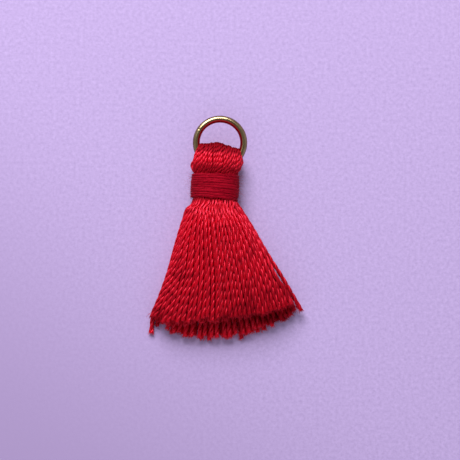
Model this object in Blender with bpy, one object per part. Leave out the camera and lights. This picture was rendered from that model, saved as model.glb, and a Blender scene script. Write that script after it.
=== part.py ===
"""A silk tassel 3 cm long on a brass jump ring, lying flat. Blender 4.5, metres, +Z up.

The ring is at +Y and the cut ends at -Y. Lengths of two-ply silk yarn are folded over the ring and bound at the
neck with a finer thread. Places are given from the middle of the neck, on the surface that the tassel lies on.
Once everything is built, centre_on_origin puts the origin under the middle of the whole tassel.
"""

import math
import random
from collections import namedtuple

import bmesh
import bpy
import numpy as np
from mathutils import Matrix, Vector

MM = 0.001
CLEARANCE = 0.3 * MM

# Jump ring: round wire, closed to a hairline at the butt
RING_OUTER_DIAMETER = 7.2 * MM
WIRE_DIAMETER = 0.92 * MM
RING_CENTRE = Vector((0.66, 5.93, 1.95)) * MM
RING_RADIUS = (RING_OUTER_DIAMETER - WIRE_DIAMETER) / 2
BUTT_ANGLE = math.radians(148)
BUTT_GAP = 0.12 * MM
RING_POINTS = 44

# The head and the neck lean to the right, and the skirt below them spreads further to the right
HEAD_LEAN = math.radians(-5)

# Yarn bundle from the roots of the skirt, through the neck, to the ridge of the fold over the ring
BodySection = namedtuple("BodySection", "along left right bottom top")
BODY = (
    BodySection(-2.65, -3.54, 3.46, 0.40, 3.72),
    BodySection(-2.20, -3.20, 3.14, 0.38, 3.70),
    BodySection(-2.03, -2.60, 2.60, 0.72, 3.19),
    BodySection(1.98, -2.60, 2.60, 0.72, 3.19),
    BodySection(2.12, -2.95, 2.95, 0.36, 3.60),
    BodySection(2.90, -3.30, 3.16, 0.14, 3.84),
    BodySection(3.80, -3.24, 3.38, 0.12, 3.86),
    BodySection(4.55, -3.10, 3.10, 0.30, 3.68),
    BodySection(5.15, -2.88, 2.88, 0.66, 3.30),
    BodySection(5.55, -2.66, 2.66, 1.12, 2.84),
    BodySection(5.80, -2.40, 2.40, 1.62, 2.34),
)
BODY_SQUARENESS = 2.5
ARCH_STEPS = 180
RIBS = 16
RIB_HEIGHT = 0.17 * MM
RIDGE_START = 3.8 * MM
RIDGE_FULL = 5.8 * MM
RIDGE_FALL = 0.09

# Skirt of loose strands: its outline and its height, by the distance down from the middle of the neck
SkirtSection = namedtuple("SkirtSection", "down left right top")
SKIRT = (
    SkirtSection(2.3, -3.50, 3.30, 3.70),
    SkirtSection(3.2, -4.15, 3.90, 4.05),
    SkirtSection(4.8, -4.62, 4.78, 4.30),
    SkirtSection(7.2, -5.20, 6.10, 4.30),
    SkirtSection(8.3, -5.58, 7.00, 4.26),
    SkirtSection(11.0, -6.40, 8.60, 4.10),
    SkirtSection(14.0, -7.45, 10.40, 3.80),
    SkirtSection(17.0, -8.70, 12.35, 3.40),
)
ROOT_DOWN = 2.35 * MM
SPREAD_DOWN = 4.4 * MM
SETTLED_DOWN = 7.6 * MM
STRANDS_BY_LAYER = (22, 18, 14)
LAYER_PITCH = 0.46 * MM
LAYER_NARROWS = 0.06
NECK_MIDDLE = 2.04 * MM
NECK_HALF_WIDTH = 3.28 * MM
NECK_ASIDE = -0.10 * MM
NECK_HALF_HEIGHT = 1.50 * MM
NECK_LAYER_PITCH = 0.40 * MM
SIDE_THICKNESS = 1.15 * MM
ARCH_POWER = 0.6
STRAND_AT_ROOT = 0.19 * MM
STRAND_AT_END = 0.38 * MM
STRAND_GAP = 0.06 * MM
CORNER_ROOM = 1.31
SLANT = 0.82
PARTING_ROUNDS = 150
STRAND_DOWNS = (2.35, 3.0, 3.9, 5.2, 7.2, 9.4, 12.0, 14.8, 19.6)

# Where the scissors went: each strand ends this far from the middle of the neck
BACK_REACH = 19.7 * MM
FRONT_REACH = 17.9 * MM
FRONT_SIDE_REACH = 19.1 * MM
BACK_LAYER_SHORTER = 0.35 * MM
FRONT_LAYER_LONGER = 0.25 * MM
REACH_SCATTER = 0.30 * MM
PLACE_SCATTER = 0.16

# Strands that stray from the rest: which one it is, how far it reaches and how far its end is pulled aside
Stray = namedtuple("Stray", "side layer order reach aside")
STRAYS = (
    Stray("back", 0, 0, 20.9, 0.2),
    Stray("back", 0, 1, 18.7, 0.0),
    Stray("back", 0, 8, 20.4, 0.1),
    Stray("back", 1, 11, 20.3, 0.0),
    Stray("back", 0, 21, 19.9, 0.3),
    Stray("front", 0, 21, 19.4, 0.2),
)

# Neck binding: fine thread in close turns, pressed flat underneath
BINDING_LENGTH = 3.45 * MM
BINDING_TURNS = 11
THREAD_DIAMETER = 0.32 * MM
BINDING_HALF_WIDTH = 3.22 * MM
BINDING_HEIGHT = 3.9 * MM
BINDING_SQUARENESS = 2.3
TURN_RELIEF = 0.07 * MM
PRESSED_DEPTH = 0.20 * MM
BINDING_AROUND = 32

SILK_RED = (0.60, 0.005, 0.030, 1.0)
THREAD_RED = (0.30, 0.004, 0.016, 1.0)
ANTIQUE_BRASS = (0.60, 0.38, 0.16, 1.0)


def clear_scene():
    for old in list(bpy.data.objects):
        bpy.data.objects.remove(old, do_unlink=True)


def new_collection(name):
    collection = bpy.data.collections.new(name)
    bpy.context.scene.collection.children.link(collection)
    return collection


def new_material(name, colour, roughness, metallic):
    material = bpy.data.materials.new(name)
    material.use_nodes = True
    shader = material.node_tree.nodes["Principled BSDF"]
    shader.inputs["Base Color"].default_value = colour
    shader.inputs["Roughness"].default_value = roughness
    shader.inputs["Metallic"].default_value = metallic
    return material


def new_object(name, data, collection, material=None):
    made = bpy.data.objects.new(name, data)
    collection.objects.link(made)
    if material:
        data.materials.append(material)
    return made


def shade_round(mesh, sharp_degrees=50):
    mesh.shade_smooth()
    mesh.set_sharp_from_angle(angle=math.radians(sharp_degrees))


def hide_as_cutter(cutter):
    cutter.hide_render = True
    cutter.display_type = "WIRE"


def add_boolean(made, cutter, operation):
    modifier = made.modifiers.new(operation.title(), "BOOLEAN")
    modifier.operation = operation
    modifier.solver = "EXACT"
    modifier.object = cutter


def smoothstep(share):
    share = min(1.0, max(0.0, share))
    return share * share * (3 - 2 * share)


def mix(start, end, share):
    return start + (end - start) * share


def lean(point):
    """A point of the head or the neck, turned with their lean about the middle of the neck."""
    return Matrix.Rotation(HEAD_LEAN, 3, "Z") @ Vector(point)


def oval_point(angle, squareness):
    """A point of a rounded square of half width 1; the angle runs from the right, over the top."""
    across = math.copysign(abs(math.cos(angle)) ** (2 / squareness), math.cos(angle))
    up = math.copysign(abs(math.sin(angle)) ** (2 / squareness), math.sin(angle))
    return across, up


def even_arch(half_width, half_height, shares):
    """Points at even shares of the way along the upper half of an oval, from its left end to its right end."""
    angles = np.linspace(math.pi, 0, ARCH_STEPS + 1)
    arch = np.array([oval_point(angle, BODY_SQUARENESS) for angle in angles]) * (half_width, half_height)
    lengths = np.concatenate(([0], np.cumsum(np.linalg.norm(np.diff(arch, axis=0), axis=1))))
    way = np.array(shares) * lengths[-1]
    return np.interp(way, lengths, arch[:, 0]), np.interp(way, lengths, arch[:, 1])


def join_rings(shape, rings, closed=False):
    """Skins rings of equally many points with four-sided faces."""
    pairs = list(zip(rings, rings[1:]))
    if closed:
        pairs.append((rings[-1], rings[0]))
    for near, far in pairs:
        for here in range(len(near)):
            beside = (here + 1) % len(near)
            shape.faces.new((near[here], near[beside], far[beside], far[here]))


def body_ring(shape, section):
    """One ribbed section of the yarn bundle, as its points along the top and along the bottom, left to right."""
    half_width = (section.right - section.left) / 2 * MM
    half_height = (section.top - section.bottom) / 2 * MM
    middle = Vector(((section.right + section.left) / 2, 0, (section.top + section.bottom) / 2)) * MM
    steps = 2 * RIBS
    arch = list(zip(*even_arch(half_width, half_height, np.linspace(0, 1, steps + 1))))
    rows = {"top": [], "bottom": []}
    for side, upward in (("top", 1), ("bottom", -1)):
        for step, (across, up) in enumerate(arch):
            if side == "bottom" and step in (0, steps):
                rows[side].append(rows["top"][step])
                continue
            rib = (RIB_HEIGHT / 2 if step % 2 else -RIB_HEIGHT / 2) * up / half_height
            x = middle.x + across
            z = middle.z + (up + rib) * upward
            y = section.along * MM
            y -= RIDGE_FALL * x * smoothstep((y - RIDGE_START) / (RIDGE_FULL - RIDGE_START))
            rows[side].append(shape.verts.new(lean((x, y, z))))
    return rows


def close_end(shape, rows, outward):
    """Closes an end of the bundle from top to bottom, each yarn of the top running on into the one below."""
    for step in range(len(rows["top"]) - 1):
        corners = [rows["top"][step], rows["top"][step + 1], rows["bottom"][step + 1], rows["bottom"][step]]
        corners = list(dict.fromkeys(corners))
        shape.faces.new(corners if outward else corners[::-1])


def bundle_body(collection, material):
    """The folded head, the neck and the root of the skirt, with a rib for each yarn that shows."""
    shape = bmesh.new()
    sections = [body_ring(shape, section) for section in BODY]
    rings = [rows["top"] + rows["bottom"][-2:0:-1] for rows in sections]
    join_rings(shape, rings)
    close_end(shape, sections[0], outward=False)
    close_end(shape, sections[-1], outward=True)
    bmesh.ops.recalc_face_normals(shape, faces=shape.faces)
    mesh = bpy.data.meshes.new("yarn_bundle")
    shape.to_mesh(mesh)
    shape.free()
    shade_round(mesh)
    return new_object("yarn_bundle", mesh, collection, material)


def skirt_column(name):
    return [getattr(section, name) * MM for section in SKIRT]


def skirt_section(down):
    """Left edge, right edge and height of the skirt at a distance down from the middle of the neck."""
    downs = skirt_column("down")
    last, before = SKIRT[-1], SKIRT[-2]
    values = []
    for name in ("left", "right", "top"):
        value = np.interp(down, downs, skirt_column(name))
        if down > downs[-1]:
            slope = (getattr(last, name) - getattr(before, name)) / (last.down - before.down)
            value += slope * (down - downs[-1])
        values.append(float(value))
    return values


def skirt_place(side, layer, across, down):
    """Where a strand is once the skirt is laid: its lower half on the surface, its upper half arched over it."""
    left, right, top = skirt_section(down)
    spread = (2 * across - 1) * (1 - LAYER_NARROWS * layer)
    upper = mix(SIDE_THICKNESS, top, (1 - spread**2) ** ARCH_POWER)
    depth = (layer + 0.5) * min(LAYER_PITCH, upper / (2 * len(STRANDS_BY_LAYER)))
    return mix(left, right, (spread + 1) / 2), depth if side == "back" else upper - depth


def neck_place(side, layer, across):
    """Where a strand leaves the neck: the strands of a layer are evenly spaced along an oval."""
    inward = layer * NECK_LAYER_PITCH
    x, up = even_arch(NECK_HALF_WIDTH - inward, NECK_HALF_HEIGHT - inward, across)
    return x + NECK_ASIDE, NECK_MIDDLE + (up if side == "front" else -up)


def strand_width(down):
    return mix(STRAND_AT_ROOT, STRAND_AT_END, smoothstep((down - ROOT_DOWN) / SETTLED_DOWN))


class Strand:
    """One loose strand of the skirt: its side, its layer from the outside in, and its place across."""

    def __init__(self, side, layer, order, chance):
        count = STRANDS_BY_LAYER[layer]
        self.side = side
        self.layer = layer
        self.across_neck = (order + 0.5) / count
        self.across = self.across_neck + chance.uniform(-PLACE_SCATTER, PLACE_SCATTER) / count
        away = abs(2 * self.across - 1)
        if side == "back":
            self.reach = BACK_REACH - layer * BACK_LAYER_SHORTER
        else:
            self.reach = mix(FRONT_REACH, FRONT_SIDE_REACH, away**2) + layer * FRONT_LAYER_LONGER
        self.reach += chance.uniform(-REACH_SCATTER, REACH_SCATTER)
        self.aside = 0.0
        for stray in STRAYS:
            if (stray.side, stray.layer, stray.order) == (side, layer, order):
                self.reach = stray.reach * MM
                self.aside = stray.aside * MM
        left, right, _ = skirt_section(SKIRT[-1].down * MM)
        slope = mix(left, right, self.across) / (SKIRT[-1].down * MM)
        self.end_down = self.reach / math.hypot(1, slope)

    def centre(self, down):
        spread = smoothstep((down - ROOT_DOWN) / (SPREAD_DOWN - ROOT_DOWN))
        laid = smoothstep((down - ROOT_DOWN) / (SETTLED_DOWN - ROOT_DOWN))
        neck_x, neck_z = neck_place(self.side, self.layer, self.across_neck)
        skirt_x, skirt_z = skirt_place(self.side, self.layer, self.across, down)
        return mix(neck_x, skirt_x, spread), mix(neck_z, skirt_z, laid)

    def lies_on_surface(self, down):
        return self.side == "back" and self.layer == 0 and down > SETTLED_DOWN


def part_strands(strands, down):
    """Where the strands are, pushed apart until none meet below their roots, the lowest row on the surface."""
    places = np.array([strand.centre(down) for strand in strands])
    width = strand_width(down)
    flat = [strand.lies_on_surface(down) for strand in strands]
    least = width * CORNER_ROOM + STRAND_GAP
    for _ in range(PARTING_ROUNDS if down > ROOT_DOWN else 0):
        apart = places[:, None, :] - places[None, :, :]
        distance = np.linalg.norm(apart * (SLANT, 1), axis=2)
        np.fill_diagonal(distance, least)
        push = np.clip(least - distance, 0, None) / 2
        places = places + (apart / distance[:, :, None] * push[:, :, None]).sum(axis=1) * 0.5
        places[:, 1] = np.maximum(places[:, 1], width / 2)
        places[flat, 1] = width / 2
    return places


def skirt_strands(collection):
    """All the loose strands as square tubes, thin at their roots, ready to be joined to the bundle."""
    chance = random.Random(5)
    strands = []
    for side in ("back", "front"):
        for layer, count in enumerate(STRANDS_BY_LAYER):
            strands += [Strand(side, layer, order, chance) for order in range(count)]
    downs = [down * MM for down in STRAND_DOWNS]
    planes = [part_strands(strands, down) for down in downs]
    curve = bpy.data.curves.new("skirt_strands", "CURVE")
    curve.dimensions = "3D"
    curve.twist_mode = "Z_UP"
    curve.bevel_depth = 1.0  # each point's own radius sets the size
    curve.bevel_resolution = 0
    curve.use_fill_caps = True
    for number, strand in enumerate(strands):
        spline = curve.splines.new("POLY")
        spline.points.add(len(downs) - 1)
        last_run = (strand.end_down - downs[-2]) / (downs[-1] - downs[-2])
        end = mix(planes[-2][number], planes[-1][number], last_run) + (strand.aside, 0)
        places = [plane[number] for plane in planes[:-1]] + [end]
        for point, (x, z), down in zip(spline.points, places, downs[:-1] + [strand.end_down]):
            point.co = (x, -down, z, 1)
            point.radius = strand_width(down) / math.sqrt(2)
            point.tilt = math.radians(45)
    return curve_to_mesh(curve, "skirt_strands", collection)


def curve_to_mesh(curve, name, collection):
    """A mesh object from a curve, its caps welded on."""
    drawn = new_object(name + "_curve", curve, collection)
    bpy.context.view_layer.update()
    mesh = bpy.data.meshes.new_from_object(drawn.evaluated_get(bpy.context.evaluated_depsgraph_get()))
    made = new_object(name, mesh, collection)
    made.matrix_world = drawn.matrix_world
    bpy.data.objects.remove(drawn, do_unlink=True)
    shape = bmesh.new()
    shape.from_mesh(mesh)
    bmesh.ops.remove_doubles(shape, verts=shape.verts, dist=1e-7)
    bmesh.ops.recalc_face_normals(shape, faces=shape.faces)
    shape.to_mesh(mesh)
    shape.free()
    return made


def ring_channel(collection):
    """The room that the wire of the ring takes up inside the fold."""
    bpy.ops.mesh.primitive_torus_add(
        location=RING_CENTRE,
        major_radius=RING_RADIUS,
        minor_radius=WIRE_DIAMETER / 2 + CLEARANCE,
        major_segments=40,
        minor_segments=12,
    )
    channel = bpy.context.object
    channel.name = "ring_channel"
    for held_by in list(channel.users_collection):
        held_by.objects.unlink(channel)
    collection.objects.link(channel)
    return channel


def yarn_bundle(collection, cutters, material):
    bundle = bundle_body(collection, material)
    strands = skirt_strands(cutters)
    channel = ring_channel(cutters)
    for cutter in (strands, channel):
        hide_as_cutter(cutter)
    add_boolean(bundle, strands, "UNION")
    add_boolean(bundle, channel, "DIFFERENCE")
    return bundle


def jump_ring(collection, material):
    """Round wire bent to a circle, open by a hairline where its ends meet."""
    curve = bpy.data.curves.new("jump_ring", "CURVE")
    curve.dimensions = "3D"
    curve.bevel_depth = WIRE_DIAMETER / 2
    curve.bevel_resolution = 2
    curve.use_fill_caps = True
    spline = curve.splines.new("POLY")
    spline.points.add(RING_POINTS - 1)
    half_gap = BUTT_GAP / RING_RADIUS / 2
    for number, point in enumerate(spline.points):
        share = number / (RING_POINTS - 1)
        angle = BUTT_ANGLE + mix(half_gap, 2 * math.pi - half_gap, share)
        point.co = (RING_RADIUS * math.cos(angle), RING_RADIUS * math.sin(angle), 0, 1)
    ring = new_object("jump_ring", curve, collection, material)
    ring.location = RING_CENTRE
    return ring


def binding_ring(shape, along, inset):
    """One oval of the binding, set in from its outer size and pressed flat where it lies on the surface."""
    points = []
    half_height = (BINDING_HEIGHT + PRESSED_DEPTH) / 2
    middle = BINDING_HEIGHT - half_height
    for number in range(BINDING_AROUND):
        angle = 2 * math.pi * (number + 0.5) / BINDING_AROUND
        across, up = oval_point(angle, BINDING_SQUARENESS)
        x = (BINDING_HALF_WIDTH - inset) * across
        z = middle + (half_height - inset) * up
        floor = inset if inset > TURN_RELIEF else 0.0
        points.append(shape.verts.new(lean((x, along, max(floor, z)))))
    return points


def neck_binding(collection, material):
    """The wound thread as one sleeve with a ridge for each turn."""
    shape = bmesh.new()
    rings = []
    start = -BINDING_LENGTH / 2
    for number in range(2 * BINDING_TURNS + 1):
        along = start + BINDING_LENGTH * number / (2 * BINDING_TURNS)
        rings.append(binding_ring(shape, along, 0.0 if number % 2 else TURN_RELIEF))
    for along in (-start, start):
        rings.append(binding_ring(shape, along, THREAD_DIAMETER))
    join_rings(shape, rings, closed=True)
    bmesh.ops.recalc_face_normals(shape, faces=shape.faces)
    mesh = bpy.data.meshes.new("neck_binding")
    shape.to_mesh(mesh)
    shape.free()
    shade_round(mesh)
    return new_object("neck_binding", mesh, collection, material)


def centre_on_origin(parts, others):
    """Moves everything so that the origin is under the middle of the parts' outer box."""
    bpy.context.view_layer.update()
    graph = bpy.context.evaluated_depsgraph_get()
    points = []
    for made in parts:
        solid = made.evaluated_get(graph)
        points += [made.matrix_world @ vertex.co for vertex in solid.to_mesh().vertices]
        solid.to_mesh_clear()
    middle = [(min(values) + max(values)) / 2 for values in zip(*points)]
    for made in parts + others:
        made.location -= Vector((middle[0], middle[1], 0))


def main():
    clear_scene()
    tassel = new_collection("silk_tassel")
    cutters = new_collection("cutters")
    silk = new_material("silk_yarn", SILK_RED, 0.42, 0.0)
    thread = new_material("binding_thread", THREAD_RED, 0.75, 0.0)
    brass = new_material("antique_brass", ANTIQUE_BRASS, 0.30, 1.0)
    parts = [
        yarn_bundle(tassel, cutters, silk),
        neck_binding(tassel, thread),
        jump_ring(tassel, brass),
    ]
    centre_on_origin(parts, list(cutters.objects))


main()
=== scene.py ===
"""The looks of a small silk tassel on a brass jump ring, lying on pale paper under soft light.

Lengths of two-ply silk yarn run from the cut ends of the upper skirt through the neck, over the ring
and back to the cut ends of the lower skirt. A fine thread is wound round the neck. Metres, +Z up, in
the frame of the solids.
"""

import math
import random
from collections import namedtuple

import bpy
import numpy as np
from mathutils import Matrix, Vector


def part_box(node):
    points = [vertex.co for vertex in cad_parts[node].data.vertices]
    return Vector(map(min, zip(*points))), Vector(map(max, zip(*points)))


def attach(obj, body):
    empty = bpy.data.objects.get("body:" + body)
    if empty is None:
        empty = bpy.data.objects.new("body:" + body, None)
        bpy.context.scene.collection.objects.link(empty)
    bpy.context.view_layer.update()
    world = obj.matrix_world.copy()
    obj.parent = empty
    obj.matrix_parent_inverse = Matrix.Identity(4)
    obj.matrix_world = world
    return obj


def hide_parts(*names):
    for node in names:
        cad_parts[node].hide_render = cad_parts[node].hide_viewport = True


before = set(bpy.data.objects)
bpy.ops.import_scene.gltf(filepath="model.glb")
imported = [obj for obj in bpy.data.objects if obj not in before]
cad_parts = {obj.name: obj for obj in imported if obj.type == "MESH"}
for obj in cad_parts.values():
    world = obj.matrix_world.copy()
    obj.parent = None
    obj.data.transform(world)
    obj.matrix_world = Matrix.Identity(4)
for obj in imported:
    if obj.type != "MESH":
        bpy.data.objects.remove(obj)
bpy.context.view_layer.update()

MM = 0.001
IMAGE_SIDE = 460
SCALE_PER_PIXEL = 0.132 * MM
NECK_PIXEL = (215, 187)
VIEW_ELEVATION = math.radians(83)
VIEW_DISTANCE = 0.42
VIEW_TARGET_HEIGHT = 1.6 * MM
VIEW_SENSOR_WIDTH = 36
VIEW_CLIP = (0.01, 5)

# The middle of the neck, on the floor, and the ring, from the solids
binding_low, binding_high = (np.array(corner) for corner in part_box("neck_binding"))
ring_low, ring_high = (np.array(corner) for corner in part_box("jump_ring"))
NECK = (binding_low + binding_high) / 2 * (1, 1, 0)
RING_CENTRE = (ring_low + ring_high) / 2
WIRE_RADIUS = (ring_high - ring_low)[2] / 2
RING_RADIUS = (ring_high - ring_low)[0] / 2 - WIRE_RADIUS
BUTT_ANGLE = math.radians(148)
BUTT_GAP = 0.04 * MM
BUTT_EDGE = 0.03 * MM

# Skirt of loose strands: its outline and its height, by the distance down from the middle of the neck
SkirtSection = namedtuple("SkirtSection", "down left right top")
SKIRT = (
    SkirtSection(1.75, -2.75, 2.75, 3.45),
    SkirtSection(2.3, -3.52, 3.16, 3.80),
    SkirtSection(2.9, -3.96, 3.58, 4.05),
    SkirtSection(3.5, -4.15, 4.00, 4.20),
    SkirtSection(4.8, -4.56, 4.82, 4.32),
    SkirtSection(6.0, -4.97, 5.62, 4.32),
    SkirtSection(7.2, -5.30, 6.25, 4.30),
    SkirtSection(8.3, -5.60, 6.80, 4.26),
    SkirtSection(9.6, -5.94, 7.65, 4.18),
    SkirtSection(11.0, -6.30, 8.60, 4.10),
    SkirtSection(14.0, -7.35, 10.32, 3.80),
    SkirtSection(17.0, -8.60, 12.20, 3.40),
)
NECK_END = 1.75 * MM
SPREAD_DOWN = 3.3 * MM
RISEN_DOWN = 4.2 * MM
SETTLED_DOWN = 7.6 * MM
FLAT_DOWN = 12 * MM
YARNS_BY_LAYER = (22, 18, 14)
RISING_EVERY = 3
LEVELS = 2
FRONT_UNDER_NARROWS = 0.05
SIDE_THICKNESS = 1.5 * MM
ARCH_POWER = 0.6
PLACE_SCATTER = 0.16
END_SCATTER = 0.28 * MM
ENDS_SPREAD_DOWN = 17 * MM
STRAND_SEED = 5

# Distances down where the strands are pushed apart, and how: they count as closer across than they are
STRAND_DOWNS = (2.3, 3.0, 3.9, 5.2, 7.6, 9.6, 11.7, 14.2)
LAST_DOWN = 19 * MM
TOUCHING_RADII = 1.8
ACROSS_COUNTS = 0.86
PUSH_ROUNDS = 120
PUSH_SHARE = 0.5
LEAST_DISTANCE = 0.001 * MM
UNLIKE_HEIGHTS = 0.0002

# Where the strands are cut: the distance down of their ends, by the place across
CutPoint = namedtuple("CutPoint", "across down")
FRONT_CUT = (
    CutPoint(-8.6, 17.0),
    CutPoint(-6.6, 17.8),
    CutPoint(-4.2, 17.9),
    CutPoint(0.1, 17.5),
    CutPoint(3.0, 17.1),
    CutPoint(7.0, 16.7),
    CutPoint(8.7, 16.2),
    CutPoint(11.4, 15.4),
)
BACK_CUT = (
    CutPoint(-8.6, 17.3),
    CutPoint(-6.5, 17.7),
    CutPoint(-6.1, 18.6),
    CutPoint(-5.5, 19.1),
    CutPoint(-4.5, 19.4),
    CutPoint(-2.6, 19.7),
    CutPoint(0.0, 19.8),
    CutPoint(2.0, 19.6),
    CutPoint(3.5, 19.2),
    CutPoint(5.4, 18.8),
    CutPoint(6.4, 18.4),
    CutPoint(7.4, 18.1),
    CutPoint(8.8, 17.6),
    CutPoint(9.6, 17.15),
    CutPoint(11.4, 16.3),
)
UNDER_LEVEL_LONGER = 0.30 * MM
BACK_UNDER_LEVEL_SHARE = -0.2

# Ends that stand out of the row: which strand of its side and level, its end, and a last bend aside
Stray = namedtuple("Stray", "side level order down aside")
STRAYS = (
    Stray("back", 0, 0, 19.25, 0.80),
    Stray("back", 0, 1, 18.3, 0.30),
    Stray("back", 0, 10, 20.15, 0.05),
    Stray("back", 0, 15, 19.95, 0.0),
    Stray("front", 0, 33, 16.35, -0.10),
)
LEAST_BENT_ASIDE = 0.5 * MM
BEND_SHARE = 0.45

# The last strand of the front stands off the others for a part of its length, and at its end
LONE_STRAND_RADII = 1.2
LONE_STRAND_GAP = 0.33 * MM
LONE_STRAND_DOWN = 12.0 * MM
LONE_STRAND_LENGTH = 2.4 * MM
LONE_STRAND_STARTS = 3 * MM
LONE_END_GAP = 1.0 * MM
LONE_END_LENGTH = 4 * MM

# Two-ply yarn: squeezed in the neck, full in the skirt
PLIES = 2
NECK_YARN_RADIUS = 0.185 * MM
END_YARN_RADIUS = 0.29 * MM
YARN_OPENS_LENGTH = 12 * MM
CUT_END_SWELLS = 0.022 * MM
CUT_END_DOWN = 15 * MM
CUT_END_LENGTH = 3 * MM
YARN_RADII = (0.94, 1.06)
PLY_DEPTH = 0.51
PLY_BREADTH = 0.74
YARN_LAY = 2.4 * MM
LAY_SCATTER = 0.14
PLY_SIDES = 9
PLY_TONES = 0.37
STEP_LENGTH = 0.16 * MM
FINER_STEPS = 3
YARN_GROUPS = 5
YARN_SEED = 11
END_LENGTH = 0.7 * MM
END_CLOSING = 0.25

# Loose fibres of a cut end: how far from its middle, how deep inside it and how far past it they are
FRAYED_SEED = 14
FRAYED_FIBRES = 20
FRAYED_RADIUS = 0.032 * MM
FRAYED_TAPER = 0.5
FRAYED_SIDES = 5
FRAYED_STEPS = 6
FRAYED_AWAY = (0.3, 0.85)
FRAYED_ROOTS = (0.20, 1.70)
FRAYED_LENGTHS = (-0.10, 0.30)
FRAYED_SPLAY = (0.13, 0.08)
FRAYED_BEND = (0.15, 0.08)

# Oval that the yarn fills inside the binding
OVAL_SQUARENESS = 2.5
ARCH_STEPS = 180
NECK_MIDDLE = 1.95 * MM
NECK_HALF_WIDTH = 2.66 * MM
NECK_HALF_HEIGHT = 1.36 * MM
NECK_LAYER_PITCH = 0.38 * MM
NECK_ALONGS = (-1.6, -0.5, 0.5, 1.6)
NECK_LEAN = math.radians(-3)

# Head where the yarn folds over the ring: its outline by the distance along, its ridge by the place across
HeadSection = namedtuple("HeadSection", "along left right")
HEAD = (
    HeadSection(1.6, -2.60, 2.76),
    HeadSection(2.1, -2.66, 3.10),
    HeadSection(2.6, -2.66, 3.32),
    HeadSection(3.2, -2.64, 3.44),
    HeadSection(4.0, -2.60, 3.38),
    HeadSection(4.6, -2.42, 3.24),
    HeadSection(5.2, -2.16, 3.02),
    HeadSection(5.8, -1.88, 2.86),
)
RidgePoint = namedtuple("RidgePoint", "aside along")
RIDGE = (
    RidgePoint(-1.0, 5.62),
    RidgePoint(-0.6, 5.62),
    RidgePoint(-0.1, 5.78),
    RidgePoint(0.2, 5.62),
    RidgePoint(0.5, 5.32),
    RidgePoint(1.0, 4.90),
)
HeadLayer = namedtuple("HeadLayer", "lower half_height width_share")
HEAD_LAYERS = (
    HeadLayer(0.0, 1.74, 1.0),
    HeadLayer(0.36, 1.40, 0.90),
    HeadLayer(0.76, 1.00, 0.76),
)
HEAD_START = 1.9 * MM
HEAD_SQUARENESS = 2.9
HEAD_TURN_STEPS = 13
HEAD_TURN_DEGREES = 80
HEAD_WANDER = 0.06 * MM
HEAD_WAVES = (3, 7)
HEAD_WAVE_STARTS = (0, 6)
RIDGE_SCATTER = 0.05 * MM
HEAD_LAY_SHARE = 0.68
HEAD_SWELLS = 1.24
HEAD_SWELLS_ALONG = 1.2 * MM
HEAD_SWELLS_LENGTH = 1.2 * MM

# Painted shade, where the yarn is also duller: on the ridge of the fold, beside the binding and towards the
# upper cut ends
ShadeAndDullPoint = namedtuple("ShadeAndDullPoint", "along share")
PAINTED_SHADE_AND_DULLNESS = (
    ShadeAndDullPoint(-20.0, 0.52),
    ShadeAndDullPoint(-15.0, 0.28),
    ShadeAndDullPoint(-9.0, 0.14),
    ShadeAndDullPoint(-5.0, 0.0),
    ShadeAndDullPoint(-2.4, 0.0),
    ShadeAndDullPoint(-1.7, 0.5),
    ShadeAndDullPoint(1.7, 0.8),
    ShadeAndDullPoint(2.5, 0.6),
    ShadeAndDullPoint(3.2, 0.0),
    ShadeAndDullPoint(4.1, 0.0),
    ShadeAndDullPoint(4.6, 0.8),
    ShadeAndDullPoint(5.0, 1.15),
)
# How the painted shade slants across the head and the two sides of the skirt, and where it fades out
# towards the lower cut ends
HEAD_SHADE_SLANT = 0.13
LEFT_SKIRT_SHADE_SLANT = 0.25
RIGHT_SKIRT_SHADE_SLANT = -0.70
SKIRT_SHADE_SLANT_LENGTH = 9 * MM
LOWER_ENDS_DOWN = 17.2 * MM
LOWER_ENDS_LENGTH = 1.4 * MM

# Loops of the outermost yarns that stand out at the sides of the head
Nub = namedtuple("Nub", "order along aside")
NUBS = (
    Nub(0, 2.7, -0.52),
    Nub(1, 2.7, -0.34),
    Nub(21, 3.45, 0.20),
)
NUB_LENGTH = 0.5 * MM
NUB_HEIGHT = 0.6
NUB_FADES = 0.8

# Binding: fine thread in close turns, pressed flat underneath. By the head they lean less than by the skirt
BINDING_TURNS = 10
BINDING_LENGTH = 3.5 * MM
BINDING_HALF_WIDTH = 3.22 * MM
THREAD_RADIUS = 0.175 * MM
BINDING_SQUARENESS = 2.2
PRESSED_DEPTH = 0.20 * MM
BINDING_BARREL = 0.04
UPPER_TURN_LEAN = math.radians(-1.5)
LOWER_TURN_LEAN = math.radians(-4.6)
THREAD_STEP = 0.13 * MM
THREAD_SIDES = 8
THREAD_TURN_STEPS = 72
THREAD_WANDER = 0.06 * MM
THREAD_UNEVEN = 0.14
THREAD_TONE = 0.46
# Painted shade: how much darker the thread is towards the sides of the neck
THREAD_SIDES_PAINTED_SHADE = 0.60

# Fibres that lie on the thread
LYING_SEED = 8
LYING_FIBRES = 420
LYING_RADIUS = 0.022 * MM
LYING_LENGTHS = (0.4, 1.6)
LYING_SIDES = 5
LYING_STEPS = 10
LYING_ALONG = 0.47
LYING_EDGE = 0.49
LYING_SLANT = 0.10
LYING_BEND = 0.12
LYING_SUNK = (0.0, 0.25)
LYING_TONES = (0.3, 1.0)

# Hairs that stand off it
HAIR_SEED = 3
HAIRS = 260
HAIR_RADIUS = 0.009 * MM
HAIR_TAPER = 0.6
HAIR_LENGTHS = (0.3, 0.95)
HAIR_SIDES = 4
HAIR_STEPS = 12
HAIR_SPREAD = 0.5
HAIR_BEND = 0.6

# Ring: how finely it is divided, and the angle from which its edges are sharp
RING_STEPS = 241
RING_SIDES = 28
RING_SHARP = math.radians(60)

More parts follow.
